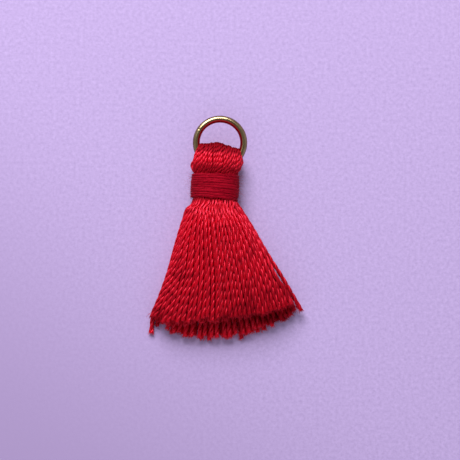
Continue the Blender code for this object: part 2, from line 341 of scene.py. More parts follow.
# Colours of the silk: in the hollows of its fibres, as painted shade, and on its fibres; between its plies,
# a slight painted shade; where shade is painted and in random dull patches; and its gloss
SILK_LOW = (0.56, 0.0, 0.006, 1)
SILK_HIGH = (0.84, 0.0, 0.013, 1)
SILK_SHADE_BETWEEN_PLIES = (0.66, 0.0, 0.006, 1)
SILK_SHADED_AND_DULL = (0.33, 0.0, 0.006, 1)
SILK_GLOSS = (1.0, 0.20, 0.38, 1)

# Colours of the thread, the brass and the paper
# The thread's dark colour is painted shade, in the hollows of its fibres and at the sides of the neck
THREAD_LOW = (0.15, 0.0, 0.004, 1)
THREAD_HIGH = (0.60, 0.001, 0.024, 1)
THREAD_GLOSS = (1.0, 0.3, 0.4, 1)
THREAD_SHEEN = (1.0, 0.15, 0.25, 1)
BRASS_CLEAN = (0.46, 0.355, 0.185, 1)
BRASS_TARNISHED = (0.26, 0.185, 0.09, 1)
# Painted shade on the outer side of the ring
BRASS_PAINTED_OUTER_SHADE = (0.10, 0.065, 0.04, 1)
# Painted reflection of the red yarn on the inner side of the ring
BRASS_PAINTED_RED_REFLECTION = (0.36, 0.003, 0.012, 1)
BRASS_GLOSS = (0.35, 0.22, 0.20, 1)
PAPER_LOW = (0.43, 0.32, 0.61, 1)
PAPER_HIGH = (0.59, 0.45, 0.79, 1)
# Painted shade on the paper towards the corner by the cut ends on the left
PAPER_PAINTED_CORNER_SHADE = (0.40, 0.295, 0.55, 1)
PAPER_SIDE = 1.2

# Relief: the height of fibres, grain and tooth, and how far the fibres of one yarn are from the next one's
FIBRE_TONE_SHIFT = 91.0
FIBRE_HEIGHT = 0.03 * MM
BRASS_GRAIN_HEIGHT = 0.02 * MM
PAPER_TOOTH_HEIGHT = 0.05 * MM

# Light: the window, and the room, which is dim overhead and paler on the side away from the window
WINDOW_PLACE = (-0.07, 0.285, 0.27)
WINDOW_SIZE = 0.28
WINDOW_ENERGY = 2.0
WINDOW_COLOUR = (1.0, 0.985, 0.975)
ROOM_COLOUR = (0.93, 0.94, 1.0, 1)
Fade = namedtuple("Fade", "start end low high")
ROOM_UPWARD = Fade(0.75, 0.97, 0.36, 0.10)
ROOM_AWAY = Fade(-0.1, -0.8, 1.0, 2.2)


def smoothstep(share):
    share = np.clip(share, 0, 1)
    return share * share * (3 - 2 * share)


def mix(start, end, share):
    return start + (end - start) * share


def lean(points, angle):
    """Points turned by an angle about the middle of the neck."""
    cos, sin = math.cos(angle), math.sin(angle)
    return points @ np.array([[cos, sin, 0], [-sin, cos, 0], [0, 0, 1]])


def oval(angles, squareness):
    """Points of a rounded square of half width 1, by the angle from the right, over the top."""
    cos, sin = np.cos(angles), np.sin(angles)
    across = np.sign(cos) * np.abs(cos) ** (2 / squareness)
    up = np.sign(sin) * np.abs(sin) ** (2 / squareness)
    return across, up


def even_arch(half_width, half_height, share):
    """A point at a share of the way along the upper half of an oval, from its left end to its right end."""
    across, up = oval(np.linspace(math.pi, 0, ARCH_STEPS + 1), OVAL_SQUARENESS)
    arch = np.stack((across * half_width, up * half_height), axis=1)
    lengths = np.concatenate(([0], np.cumsum(np.linalg.norm(np.diff(arch, axis=0), axis=1))))
    way = share * lengths[-1]
    return np.interp(way, lengths, arch[:, 0]), np.interp(way, lengths, arch[:, 1])


def from_table(place, table, by, name):
    """A column of a table in millimetres, read at a place and carried on past the table's end."""
    places = [getattr(row, by) * MM for row in table]
    values = [getattr(row, name) * MM for row in table]
    slope = (values[-1] - values[-2]) / (places[-1] - places[-2])
    return float(np.interp(place, places, values) + max(0, place - places[-1]) * slope)


def yarn_radius(down):
    """How thick the yarn is: it is squeezed in the neck and opens out below it."""
    opened = smoothstep((down - NECK_END) / YARN_OPENS_LENGTH)
    swells = CUT_END_SWELLS * smoothstep((down - CUT_END_DOWN) / CUT_END_LENGTH)
    return mix(NECK_YARN_RADIUS, END_YARN_RADIUS, opened) + swells


class Strand:
    """One loose end of a yarn: from its place in the neck to its place in a level of the skirt."""

    def __init__(self, side, level, order, count, top_count, neck_layer, across_neck, chance):
        self.side = side
        self.level = level
        self.neck_layer = neck_layer
        self.across_neck = across_neck
        scatter = chance.uniform(-PLACE_SCATTER, PLACE_SCATTER)
        self.across = order / (count - 1)
        if level > 0 and side == "back":
            self.across = (order + 0.5) / (top_count - 1)
        if 0 < order < count - 1:
            self.across += scatter / count
        self.lone = side == "front" and level == 0 and order == count - 1
        self.aside = 0.0
        left, right = (from_table(ENDS_SPREAD_DOWN, SKIRT, "down", edge) for edge in ("left", "right"))
        end_x = mix(left, right, self.across)
        cut = FRONT_CUT if side == "front" else BACK_CUT
        longer = level * UNDER_LEVEL_LONGER * (1 if side == "front" else BACK_UNDER_LEVEL_SHARE)
        self.end_down = from_table(end_x, cut, "across", "down") + longer
        self.end_down += chance.uniform(-1, 1) * END_SCATTER
        for stray in STRAYS:
            if (stray.side, stray.level, stray.order) == (side, level, order):
                self.end_down = stray.down * MM
                self.aside = stray.aside * MM

    def centre(self, down):
        """Place across and height at a distance down: on an oval at the neck, spread out further down."""
        inward = self.neck_layer * NECK_LAYER_PITCH
        neck_x, up = even_arch(NECK_HALF_WIDTH - inward, NECK_HALF_HEIGHT - inward, self.across_neck)
        front = self.side == "front"
        neck_z = NECK_MIDDLE + (up if front else -up)
        left, right, top = (from_table(down, SKIRT, "down", name) for name in ("left", "right", "top"))
        spread = (2 * self.across - 1) * (1 - (FRONT_UNDER_NARROWS * self.level if front else 0))
        radius = float(yarn_radius(down))
        upper = mix(SIDE_THICKNESS, top, max(0, 1 - spread**2) ** ARCH_POWER)
        depth = radius * (1 + 2 * self.level)
        skirt_x = mix(left + radius, right - radius, (spread + 1) / 2)
        skirt_z = upper - depth if front else depth
        spread_share = smoothstep((down - NECK_END) / (SPREAD_DOWN - NECK_END))
        settled = RISEN_DOWN if front else SETTLED_DOWN
        rise_share = smoothstep((down - NECK_END) / (settled - NECK_END))
        return mix(neck_x, skirt_x, spread_share), mix(neck_z, skirt_z, rise_share)


def share_out_levels(chance):
    """The strands of both sides: the outer yarns of the neck and some of the next layer come to the top."""
    strands = {}
    for side in ("back", "front"):
        levels = [[] for _ in range(LEVELS)]
        for layer, count in enumerate(YARNS_BY_LAYER):
            for order in range(count):
                rises = (order % RISING_EVERY == 1) == (side == "back")
                on_top = layer == 0 or (layer == 1 and rises)
                levels[0 if on_top else 1].append(((order + 0.5) / count, layer, order))
        for level, yarns in enumerate(levels):
            for rank, (across_neck, layer, order) in enumerate(sorted(yarns)):
                in_skirt = side, level, rank, len(yarns), len(levels[0])
                strands[(side, layer, order)] = Strand(*in_skirt, layer, across_neck, chance)
    return strands


def part_strands(strands, down):
    """Where the strands are at a distance down, pushed apart until they hardly press into each other."""
    places = np.array([strand.centre(down) for strand in strands])
    left, right = (from_table(down, SKIRT, "down", name) for name in ("left", "right"))
    radius = float(yarn_radius(down))
    least = TOUCHING_RADII * radius
    parting = math.exp(-(((down - LONE_STRAND_DOWN) / LONE_STRAND_LENGTH) ** 2))
    gap = mix(LONE_STRAND_RADII * radius, 2 * radius + LONE_STRAND_GAP, parting)
    gap += LONE_END_GAP * smoothstep((down - STRAND_DOWNS[-1] * MM) / LONE_END_LENGTH)
    rights = np.array([right - radius - (0 if strand.lone else gap) for strand in strands])
    rights = mix(right - radius, rights, smoothstep((down - RISEN_DOWN) / LONE_STRAND_STARTS))
    flat = [strand.side == "back" and strand.level == 0 and down > FLAT_DOWN for strand in strands]
    unlike = np.arange(len(strands)) * UNLIKE_HEIGHTS * MM
    for _ in range(PUSH_ROUNDS):
        apart = places[:, None, :] - places[None, :, :]
        distance = np.maximum(np.linalg.norm(apart * (ACROSS_COUNTS, 1), axis=2), LEAST_DISTANCE)
        np.fill_diagonal(distance, least)
        push = np.clip(least - distance, 0, None) / 2
        places = places + (apart / distance[:, :, None] * push[:, :, None]).sum(axis=1) * PUSH_SHARE
        places[:, 0] = np.clip(places[:, 0], left + radius, rights)
        places[:, 1] = np.maximum(places[:, 1], radius + unlike)
        places[flat, 1] = radius
    return places


def lay_out_strands():
    """The points that every loose strand runs through, from the neck down to its cut end."""
    strands = share_out_levels(random.Random(STRAND_SEED))
    downs = [down * MM for down in STRAND_DOWNS]
    planes = [part_strands(list(strands.values()), down) for down in downs + [LAST_DOWN]]
    routes = {}
    for number, (key, strand) in enumerate(strands.items()):
        last_run = (strand.end_down - downs[-1]) / (LAST_DOWN - downs[-1])
        end = mix(planes[-2][number], planes[-1][number], last_run) + (strand.aside, 0)
        end[1] = max(end[1], float(yarn_radius(strand.end_down)))
        places = [plane[number] for plane in planes[:-1]] + [end]
        routes[key] = np.array([(x, -down, z) for (x, z), down in zip(places, downs + [strand.end_down])])
        if strand.aside > LEAST_BENT_ASIDE:
            x, z = mix(planes[-2][number], planes[-1][number], BEND_SHARE)
            bend = (x, -mix(downs[-1], LAST_DOWN, BEND_SHARE), z)
            routes[key] = np.insert(routes[key], -1, bend, axis=0)
    return routes


def neck_run(layer, share, upward):
    """Points of a yarn through the binding, from the skirt's side to the head's."""
    inward = layer * NECK_LAYER_PITCH
    x, up = even_arch(NECK_HALF_WIDTH - inward, NECK_HALF_HEIGHT - inward, share)
    points = np.array([(x, along * MM, NECK_MIDDLE + up * upward) for along in NECK_ALONGS])
    return lean(points, NECK_LEAN)


def head_turn(layer, order, share, chance):
    """Points of a yarn up the front of the head, over the ring and down behind it."""
    x, up = even_arch(NECK_HALF_WIDTH, NECK_HALF_HEIGHT, share)
    aside, rise = x / NECK_HALF_WIDTH, up / NECK_HALF_HEIGHT
    level = HEAD_LAYERS[layer]
    wire_room = WIRE_RADIUS + NECK_YARN_RADIUS
    half_height = max(wire_room, level.half_height * MM * rise)
    ridge = np.interp(aside, [point.aside for point in RIDGE], [point.along * MM for point in RIDGE])
    ridge += (chance.uniform(-1, 1) * RIDGE_SCATTER) - level.lower * MM
    angles = np.radians(np.linspace(HEAD_TURN_DEGREES, -HEAD_TURN_DEGREES, HEAD_TURN_STEPS))
    forward, upward = oval(angles, HEAD_SQUARENESS)
    along = HEAD_START + (ridge - HEAD_START) * forward
    alongs = [section.along * MM for section in HEAD]
    left = np.interp(along, alongs, [section.left * MM for section in HEAD])
    right = np.interp(along, alongs, [section.right * MM for section in HEAD])
    across = mix(left, right, (aside * level.width_share + 1) / 2)
    waves = np.linspace(0, chance.uniform(*HEAD_WAVES), HEAD_TURN_STEPS)
    across += HEAD_WANDER * np.sin(waves + chance.uniform(*HEAD_WAVE_STARTS))
    for nub in NUBS:
        if layer == 0 and order == nub.order:
            nearness = np.exp(-(((along - nub.along * MM) / NUB_LENGTH) ** 2))
            across += nub.aside * MM * nearness * smoothstep((NUB_HEIGHT - upward) / NUB_FADES)
    return np.stack((across, along, NECK_MIDDLE + half_height * upward), axis=1)


def smooth_path(points, step):
    """Even steps along a smooth curve through the points."""
    gaps = np.linalg.norm(np.diff(points, axis=0), axis=1)
    times = np.concatenate(([0], np.cumsum(gaps)))
    slopes = np.diff(points, axis=0) / gaps[:, None]
    before, after = gaps[:-1, None], gaps[1:, None]
    inner = (slopes[1:] * before + slopes[:-1] * after) / (before + after)
    tangents = np.concatenate((slopes[:1], inner, slopes[-1:]))
    fine = np.linspace(0, times[-1], int(times[-1] / step * FINER_STEPS))
    piece = np.clip(np.searchsorted(times, fine, side="right") - 1, 0, len(gaps) - 1)
    gap = gaps[piece][:, None]
    share = ((fine - times[piece]) / gaps[piece])[:, None]
    path = (
        points[piece] * (1 + 2 * share) * (1 - share) ** 2
        + tangents[piece] * gap * share * (1 - share) ** 2
        + points[piece + 1] * share**2 * (3 - 2 * share)
        + tangents[piece + 1] * gap * share**2 * (share - 1)
    )
    lengths = np.concatenate(([0], np.cumsum(np.linalg.norm(np.diff(path, axis=0), axis=1))))
    even = np.linspace(0, lengths[-1], max(3, int(round(lengths[-1] / step)) + 1))
    return np.stack([np.interp(even, lengths, path[:, axis]) for axis in range(3)], axis=1), even


def shade_and_dull_share(points):
    """How much painted shade the yarn has, where it is also duller: by the place along, more so at the
    sides, and none at the lower cut ends.
    """
    aside, along = points[:, 0] - NECK[0], points[:, 1] - NECK[1]
    skirt_slant = np.where(aside < 0, LEFT_SKIRT_SHADE_SLANT, RIGHT_SKIRT_SHADE_SLANT)
    skirt_slant = skirt_slant * smoothstep(-along / SKIRT_SHADE_SLANT_LENGTH)
    place = along + aside * np.where(along > 0, HEAD_SHADE_SLANT, skirt_slant)
    share = np.interp(place, [point.along * MM for point in PAINTED_SHADE_AND_DULLNESS], [point.share for point in PAINTED_SHADE_AND_DULLNESS])
    return share * (1 - smoothstep((-along - LOWER_ENDS_DOWN) / LOWER_ENDS_LENGTH))


def path_frames(path, start=(1.0, 0.0, 0.0)):
    """Two directions square to a path at each of its points, carried along it without turning."""
    tangents = np.gradient(path, axis=0)
    tangents /= np.linalg.norm(tangents, axis=1)[:, None]
    normals = np.empty_like(path)
    normal = np.array(start)
    for number, tangent in enumerate(tangents):
        normal = normal - tangent * normal.dot(tangent)
        normal /= np.linalg.norm(normal)
        normals[number] = normal
    return normals, np.cross(tangents, normals)


class TubeMesh:
    """Collects tubes and turns them into one mesh with what its material reads."""

    def __init__(self):
        self.points = []
        self.faces = []
        self.notes = {"fibre_place": [], "yarn_look": [], "round_fibre": []}
        self.count = 0

    def add(self, centres, outward, beside, depths, breadths, sides, lengths, axis, tone):
        """A closed tube of oval section: its depth lies outward and its breadth beside it."""
        rings = len(centres)
        angles = np.arange(sides) / sides * 2 * math.pi
        rim = centres[:, None, :] + outward[:, None, :] * (depths[:, None] * np.cos(angles))[:, :, None]
        rim = rim + beside[:, None, :] * (breadths[:, None] * np.sin(angles))[:, :, None]
        start = self.count
        self.points.append(rim.reshape(-1, 3))
        ring = np.arange(rings - 1)[:, None] * sides
        side = np.arange(sides)[None, :]
        after = (side + 1) % sides
        quads = np.stack((ring + side, ring + after, ring + sides + after, ring + sides + side), axis=2)
        self.faces += (quads.reshape(-1, 4) + start).tolist()
        self.faces.append(list(range(start + sides - 1, start - 1, -1)))
        self.faces.append(list(range(start + (rings - 1) * sides, start + rings * sides)))
        round_it = beside[:, None, :] * (breadths[:, None] * np.cos(angles))[:, :, None]
        round_it = round_it - outward[:, None, :] * (depths[:, None] * np.sin(angles))[:, :, None]
        round_it = round_it / np.linalg.norm(round_it, axis=2)[:, :, None]
        self.notes["round_fibre"].append(round_it.reshape(-1, 3))
        place = np.broadcast_arrays(lengths[:, None] / MM, np.cos(angles)[None, :], np.sin(angles)[None, :])
        self.notes["fibre_place"].append(np.stack(place, axis=2).reshape(-1, 3))
        away = np.linalg.norm(rim - axis[:, None, :], axis=2) / NECK_YARN_RADIUS
        # The third value is the share of painted shade, where the yarn is also duller
        look = np.broadcast_arrays(away, tone, shade_and_dull_share(axis)[:, None])
        self.notes["yarn_look"].append(np.stack(look, axis=2).reshape(-1, 3))
        self.count += rings * sides

    def make(self, name, material):
        mesh = bpy.data.meshes.new(name)
        mesh.from_pydata(np.concatenate(self.points).tolist(), [], self.faces)
        for note, values in self.notes.items():
            attribute = mesh.attributes.new(note, "FLOAT_VECTOR", "POINT")
            attribute.data.foreach_set("vector", np.concatenate(values).astype(np.float32).ravel())
        mesh.shade_smooth()
        mesh.materials.append(material)
        made = bpy.data.objects.new(name, mesh)
        bpy.context.scene.collection.objects.link(made)
        return made


def add_plied(tubes, path, lengths, radii, turns, tone):
    """A yarn of two plies twisted to the right round each other, drawn together at its cut ends."""
    normals, binormals = path_frames(path)
    ending = np.minimum(lengths, lengths[-1] - lengths)
    closing = 1 - END_CLOSING * smoothstep(1 - ending / END_LENGTH)
    depths = radii * PLY_DEPTH
    breadths = radii * PLY_BREADTH
    for ply in range(PLIES):
        turn = 2 * math.pi * (ply / PLIES + turns)
        cos, sin = np.cos(turn)[:, None], np.sin(turn)[:, None]
        outward = normals * cos + binormals * sin
        beside = binormals * cos - normals * sin
        centres = path + outward * ((radii - depths) * closing)[:, None]
        ply_tone = tone + ply * PLY_TONES
        tubes.add(centres, outward, beside, depths, breadths, PLY_SIDES, lengths, path, ply_tone)


def add_frayed_end(tubes, end, ahead, radius, tone, chance):
    """Loose fibres of a cut end: each starts inside the yarn and stops a little before or past its end."""
    aside = np.cross(ahead, (0.0, 0.0, 1.0))
    aside = aside / np.linalg.norm(aside)
    upward = np.cross(aside, ahead)
    for _ in range(FRAYED_FIBRES):
        angle = chance.uniform(0, 2 * math.pi)
        away = chance.uniform(*FRAYED_AWAY) * radius
        inside = chance.uniform(*FRAYED_ROOTS) * MM
        length = inside + chance.uniform(*FRAYED_LENGTHS) * MM
        root = end - ahead * inside + (aside * math.cos(angle) + upward * math.sin(angle)) * away
        splays = [chance.gauss(0, spread) for spread in FRAYED_SPLAY]
        bends = [chance.gauss(0, spread) for spread in FRAYED_BEND]
        heading = ahead + aside * splays[0] + upward * splays[1]
        bend = aside * bends[0] + upward * bends[1]
        shares = np.linspace(0, 1, FRAYED_STEPS)[:, None]
        points = root + heading * shares * length + bend * shares**2 * length
        points[:, 2] = np.maximum(points[:, 2], FRAYED_RADIUS)
        path, lengths = smooth_path(points, length / FRAYED_STEPS)
        normals, binormals = path_frames(path)
        radii = FRAYED_RADIUS * (1 - FRAYED_TAPER * lengths / lengths[-1])
        tubes.add(path, normals, binormals, radii, radii, FRAYED_SIDES, lengths, path, tone)


def make_yarns(material):
    """All the yarns, in a few pieces from left to right."""
    routes = lay_out_strands()
    chance = random.Random(YARN_SEED)
    frayed = random.Random(FRAYED_SEED)
    groups = [TubeMesh() for _ in range(YARN_GROUPS)]
    for layer, count in enumerate(YARNS_BY_LAYER):
        for order in range(count):
            share = (order + 0.5) / count
            front = routes[("front", layer, order)]
            back = routes[("back", layer, order)]
            middle = [
                neck_run(layer, share, 1),
                head_turn(layer, order, share, chance),
                neck_run(layer, share, -1)[::-1],
            ]
            points = np.concatenate([front[::-1]] + middle + [back]) + NECK
            path, lengths = smooth_path(points, STEP_LENGTH)
            down = NECK[1] - path[:, 1]
            in_head = smoothstep((-down - HEAD_SWELLS_ALONG) / HEAD_SWELLS_LENGTH)
            radii = yarn_radius(down) * mix(1.0, HEAD_SWELLS, in_head) * chance.uniform(*YARN_RADII)
            lays = YARN_LAY * chance.uniform(1 - LAY_SCATTER, 1 + LAY_SCATTER)
            lays = lays * mix(1.0, HEAD_LAY_SHARE, in_head)
            turns = chance.random() + np.concatenate(([0], np.cumsum(np.diff(lengths) / lays[1:])))
            group = groups[min(YARN_GROUPS - 1, int(share * YARN_GROUPS))]
            tone = chance.random()
            add_plied(group, path, lengths, radii, turns, tone)
            for last, before in ((0, 4), (-1, -5)):
                ahead = (path[last] - path[before]) / np.linalg.norm(path[last] - path[before])
                add_frayed_end(group, path[last], ahead, radii[last], tone, frayed)
    for number, group in enumerate(groups):
        piece = group.make(f"silk_yarns_{number + 1}", material)
        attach(piece, "root")
        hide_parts("yarn_bundle")


def binding_surface(angles, along, inset):
    """Points of the binding's surface, less an inset, by the angle round it and the place along it."""
    height = binding_high[2]
    half_height = (height + PRESSED_DEPTH) / 2
    barrel = 1 - BINDING_BARREL * (2 * along / BINDING_LENGTH) ** 2
    across, up = oval(angles, BINDING_SQUARENESS)
    x = (BINDING_HALF_WIDTH * barrel - inset) * across
    z = np.maximum(inset, height - half_height + (half_height * barrel - inset) * up)
    leaning = mix(LOWER_TURN_LEAN, UPPER_TURN_LEAN, along / BINDING_LENGTH + 0.5)
    return np.stack((x - along * np.sin(leaning), along + x * np.sin(leaning), z), axis=-1)


def add_hairs(tubes):
    """Fine loose fibres that stand off the thread."""
    chance = random.Random(HAIR_SEED)
    for _ in range(HAIRS):
        angle = chance.uniform(-0.6, math.pi + 0.6)
        along = chance.uniform(-0.5, 0.5) * BINDING_LENGTH
        root = binding_surface(np.array(angle), np.array(along), THREAD_RADIUS)
        heading = np.array((math.cos(angle), 0.0, max(0.0, math.sin(angle)) * 0.5))
        heading += np.array([chance.gauss(0, HAIR_SPREAD) for _ in range(3)])
        heading[2] = max(heading[2], -0.1)
        bend = np.array([chance.gauss(0, HAIR_BEND), chance.gauss(0, HAIR_BEND), chance.gauss(0.1, 0.3)])
        length = chance.uniform(*HAIR_LENGTHS) * MM
        shares = np.linspace(0, 1, 9)[:, None]
        straight = heading / np.linalg.norm(heading) * shares * length
        points = root + straight + bend * shares**2 * length * 0.5
        points[:, 2] = np.maximum(points[:, 2], 2 * HAIR_RADIUS)
        path, lengths = smooth_path(points + NECK, length / HAIR_STEPS)
        normals, binormals = path_frames(path)
        radii = HAIR_RADIUS * (1 - HAIR_TAPER * lengths / lengths[-1])
        tubes.add(path, normals, binormals, radii, radii, HAIR_SIDES, lengths, path, chance.random())


def add_lying_fibres(tubes):
    """Fibres that have come loose from the thread and lie on its turns."""
    chance = random.Random(LYING_SEED)
    for _ in range(LYING_FIBRES):
        angle = chance.uniform(-0.25, math.pi + 0.25)
        along = chance.uniform(-LYING_ALONG, LYING_ALONG) * BINDING_LENGTH
        length = chance.uniform(*LYING_LENGTHS) * MM
        shares = np.linspace(-0.5, 0.5, 8)
        slant = chance.gauss(0, LYING_SLANT)
        bend = chance.gauss(0, LYING_BEND)
        alongs = along + length * (slant * shares + bend * shares**2)
        alongs = np.clip(alongs, -LYING_EDGE * BINDING_LENGTH, LYING_EDGE * BINDING_LENGTH)
        inset = -0.6 * LYING_RADIUS + THREAD_RADIUS * chance.uniform(*LYING_SUNK)
        points = binding_surface(angle + shares * length / BINDING_HALF_WIDTH, alongs, inset)
        points[:, 2] = np.maximum(points[:, 2], LYING_RADIUS)
        path, lengths = smooth_path(points + NECK, length / LYING_STEPS)
        normals, binormals = path_frames(path, start=(0.0, 1.0, 0.0))
        radii = LYING_RADIUS * np.sin(np.linspace(0.2, math.pi - 0.2, len(lengths))) ** 0.5
        tone = chance.uniform(*LYING_TONES)
        tubes.add(path, normals, binormals, radii, radii, LYING_SIDES, lengths, path, tone)


def make_binding(material):
    """The fine thread, wound round the neck from the skirt to the head. Both its ends are underneath."""
    steps = BINDING_TURNS * THREAD_TURN_STEPS
    angles = np.linspace(0, 2 * math.pi * BINDING_TURNS, steps + 1) - math.pi / 2
    along = np.linspace(-0.5, 0.5, len(angles)) * (BINDING_LENGTH - 2 * THREAD_RADIUS)
    along = along + THREAD_WANDER * np.sin(angles * 0.37) * np.sin(angles * 1.13 + 1.0)
    points = binding_surface(angles, along, THREAD_RADIUS)
    path, lengths = smooth_path(points + NECK, THREAD_STEP)
    normals, binormals = path_frames(path, start=(0.0, 1.0, 0.0))
    uneven = np.sin(lengths / MM * 0.9) * np.sin(lengths / MM * 0.23 + 1.3)
    radii = THREAD_RADIUS * (1 + THREAD_UNEVEN * uneven)
    tubes = TubeMesh()
    # Painted shade: the thread's tone falls towards the sides of the neck
    tone = THREAD_TONE - THREAD_SIDES_PAINTED_SHADE * np.abs((path[:, 0] - NECK[0]) / BINDING_HALF_WIDTH) ** 2
    tubes.add(path, normals, binormals, radii, radii, THREAD_SIDES, lengths, path, tone[:, None])
    add_lying_fibres(tubes)
    add_hairs(tubes)
    piece = tubes.make("binding_thread", material)
    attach(piece, "root")
    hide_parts("neck_binding")


def make_ring(material):
    """The wire ring, closed to a hairline, its cut ends just broken at the edge."""
    half_gap = BUTT_GAP / RING_RADIUS / 2
    edge = BUTT_EDGE / RING_RADIUS
    angles = BUTT_ANGLE + np.linspace(half_gap + edge, 2 * math.pi - half_gap - edge, RING_STEPS)
    angles = np.concatenate((angles[:1] - edge, angles, angles[-1:] + edge))
    outward = np.stack((np.cos(angles), np.sin(angles), np.zeros_like(angles)), axis=1)
    upward = np.tile((0.0, 0.0, 1.0), (len(angles), 1))
    centres = RING_CENTRE + outward * RING_RADIUS
    radii = np.full(len(angles), WIRE_RADIUS)
    radii[[0, -1]] -= BUTT_EDGE
    tubes = TubeMesh()
    tubes.add(centres, upward, outward, radii, radii, RING_SIDES, angles * RING_RADIUS, centres, 0.0)
    piece = tubes.make("brass_ring", material)
    piece.data.set_sharp_from_angle(angle=RING_SHARP)
    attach(piece, "root")
    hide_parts("jump_ring")
    return piece


class Nodes:
    """A short way to add shader nodes and links to a material or a world."""

    def __init__(self, owner, shader):
        owner.use_nodes = True
        self.tree = owner.node_tree
        self.shader = self.tree.nodes[shader]

    def join(self, value, socket):
        """Links a value that comes from a node, and sets one that doesn't."""
        if isinstance(value, bpy.types.NodeSocket):
            self.tree.links.new(value, socket)
        else:
            socket.default_value = value

    def add(self, kind, inputs=None, **settings):
        node = self.tree.nodes.new("ShaderNode" + kind)
        for name, value in settings.items():
            setattr(node, name, value)
        for name, value in (inputs or {}).items():
            self.join(value, node.inputs[name])
        return node

    def feed(self, name, value):
        self.join(value, self.shader.inputs[name])

    def attribute(self, name):
        return self.add("Attribute", attribute_name=name).outputs["Vector"]

    def object_place(self):
        return self.add("TexCoord").outputs["Object"]

    def split(self, vector):
        return self.add("SeparateXYZ", {"Vector": vector}).outputs

    def math(self, operation, first, second=0.0, clamp=False):
        return self.add("Math", {0: first, 1: second}, operation=operation, use_clamp=clamp).outputs[0]

    def blend(self, share, first, second):
        """A colour between two, by a share. They are inputs 6 and 7 of the node, and its output is 2."""
        return self.add("Mix", {0: share, 6: first, 7: second}, data_type="RGBA").outputs[2]

    def noise(self, place, scale, detail, roughness=0.5):
        inputs = {"Vector": place, "Scale": scale, "Detail": detail, "Roughness": roughness}
        return self.add("TexNoise", inputs).outputs["Fac"]

    def fade(self, value, start=0.0, end=1.0, low=0.0, high=1.0, **settings):
        """A value that goes from low to high while the given one goes from start to end."""
        inputs = {"Value": value, "From Min": start, "From Max": end, "To Min": low, "To Max": high}
        return self.add("MapRange", inputs, **settings).outputs[0]

    def bump(self, height, strength, distance):
        inputs = {"Height": height, "Strength": strength, "Distance": distance}
        self.feed("Normal", self.add("Bump", inputs).outputs["Normal"])


def new_material(name):
    """A material and its nodes."""
    material = bpy.data.materials.new(name)
    return material, Nodes(material, "Principled BSDF")


def fibre_bump(nodes, lines, stretch, twist, strength):
    """Fine fibres along each ply: lines round it, stretched along it and twisted about it."""
    place = nodes.split(nodes.attribute("fibre_place"))
    look = nodes.split(nodes.attribute("yarn_look"))
    round_it = nodes.add("CombineXYZ", {"X": place["Y"], "Y": place["Z"]}).outputs[0]
    by_twist = {"Vector": round_it, "Angle": nodes.math("MULTIPLY", place["X"], twist)}
    turned = nodes.add("VectorRotate", by_twist, rotation_type="Z_AXIS").outputs[0]
    turned = nodes.split(nodes.add("VectorMath", {0: turned, "Scale": lines}, operation="SCALE").outputs[0])
    along = nodes.math("MULTIPLY", place["X"], stretch)
    along = nodes.math("ADD", along, nodes.math("MULTIPLY", look["Y"], FIBRE_TONE_SHIFT))
    spot = nodes.add("CombineXYZ", {"X": turned["X"], "Y": turned["Y"], "Z": along}).outputs[0]
    fibres = nodes.noise(spot, scale=1.0, detail=3.0, roughness=0.6)
    nodes.bump(fibres, strength, distance=FIBRE_HEIGHT)
    return fibres, look


def silk_material():
    """Red silk: lighter on its fibres and darker in their hollows as painted shade, dull in random patches,
    and with painted shade where it is also duller.
    """
    material, nodes = new_material("glossy_silk_yarn")
    fibres, look = fibre_bump(nodes, lines=4.0, stretch=0.45, twist=0.9, strength=0.5)
    # Painted shade between the plies: the surface near the yarn's middle takes a slightly darker, even
    # colour
    clear_of_ply_shade = nodes.fade(look["X"], 0.35, 1.05)
    tone = nodes.fade(look["Y"], end=1.0 + PLY_TONES, low=-0.2, high=0.2)
    # The colour follows the fibre relief, darker in its hollows as painted shade, and a random tone per
    # yarn and ply shifts it
    share = nodes.math("ADD", nodes.math("MULTIPLY", fibres, 0.9), tone, clamp=True)
    body = nodes.blend(clear_of_ply_shade, SILK_SHADE_BETWEEN_PLIES, nodes.blend(share, SILK_LOW, SILK_HIGH))
    # Random dull patches are added to the painted shade
    patches = nodes.noise(nodes.object_place(), scale=520.0, detail=2.0)
    shade_and_dull = nodes.math("ADD", look["Z"], nodes.fade(patches, 0.50, 0.72, high=0.45), clamp=True)
    # Darker colour where shade is painted and in the random dull patches
    nodes.feed("Base Color", nodes.blend(shade_and_dull, body, SILK_SHADED_AND_DULL))
    nodes.feed("Metallic", nodes.fade(shade_and_dull, low=0.15, high=0.66))
    nodes.feed("Roughness", nodes.fade(shade_and_dull, low=0.37, high=0.75))
    nodes.feed("IOR", 1.6)
    nodes.feed("Anisotropic", 0.8)
    nodes.feed("Tangent", nodes.attribute("round_fibre"))
    nodes.feed("Specular IOR Level", 1.0)
    nodes.feed("Specular Tint", SILK_GLOSS)
    return material


def thread_material():
    """Red thread with painted shade: darker in the hollows of its fibres and at the sides of the neck."""
    material, nodes = new_material("matte_binding_thread")
    fibres, look = fibre_bump(nodes, lines=3.0, stretch=1.1, twist=2.2, strength=1.0)
    # The colour follows the fibre relief, darker in its hollows as painted shade, and the thread's tone,
    # with its painted shade at the sides, scales it
    share = nodes.math("MULTIPLY", fibres, nodes.math("ADD", look["Y"], 0.5))
    nodes.feed("Base Color", nodes.blend(share, THREAD_LOW, THREAD_HIGH))
    nodes.feed("Roughness", 0.75)
    nodes.feed("Specular IOR Level", 0.25)
    nodes.feed("Specular Tint", THREAD_GLOSS)
    nodes.feed("Sheen Weight", 0.04)
    nodes.feed("Sheen Roughness", 0.5)
    nodes.feed("Sheen Tint", THREAD_SHEEN)
    return material


